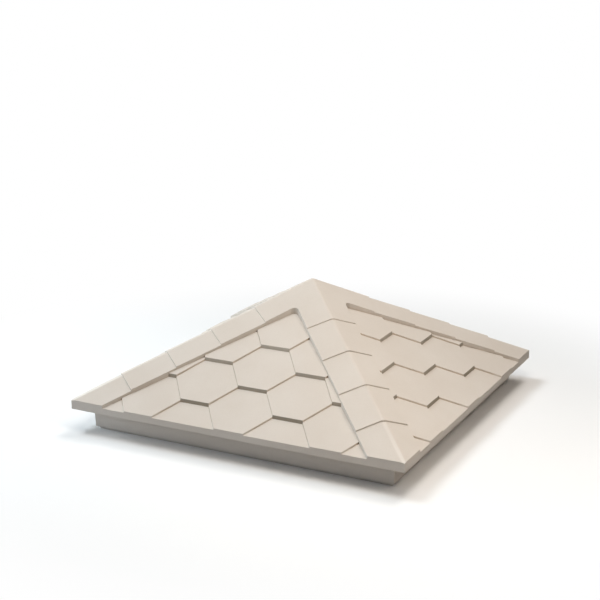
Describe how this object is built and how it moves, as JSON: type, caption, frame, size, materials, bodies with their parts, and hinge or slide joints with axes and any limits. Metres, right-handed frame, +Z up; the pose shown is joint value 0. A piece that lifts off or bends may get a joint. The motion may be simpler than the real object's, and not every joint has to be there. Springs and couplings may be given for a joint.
{
  "type": "pier cap",
  "caption": "Square cast concrete cap for a brick pier: a low pyramid roof with raised hip bands and a relief of overlapping hexagon tiles, over a thin eave slab and a coved cornice.",
  "frame": {"origin": "centre of the flat underside that rests on the pier", "axes": "+Z up through the apex; +X and +Y along the two eave directions"},
  "size_m": [0.445, 0.445, 0.17],
  "materials": {
    "cast_concrete": "smooth matt cast concrete, through-coloured warm beige"
  },
  "bodies": {
    "root": {"pier_cap": "cast_concrete"}
  },
  "joints": []
}
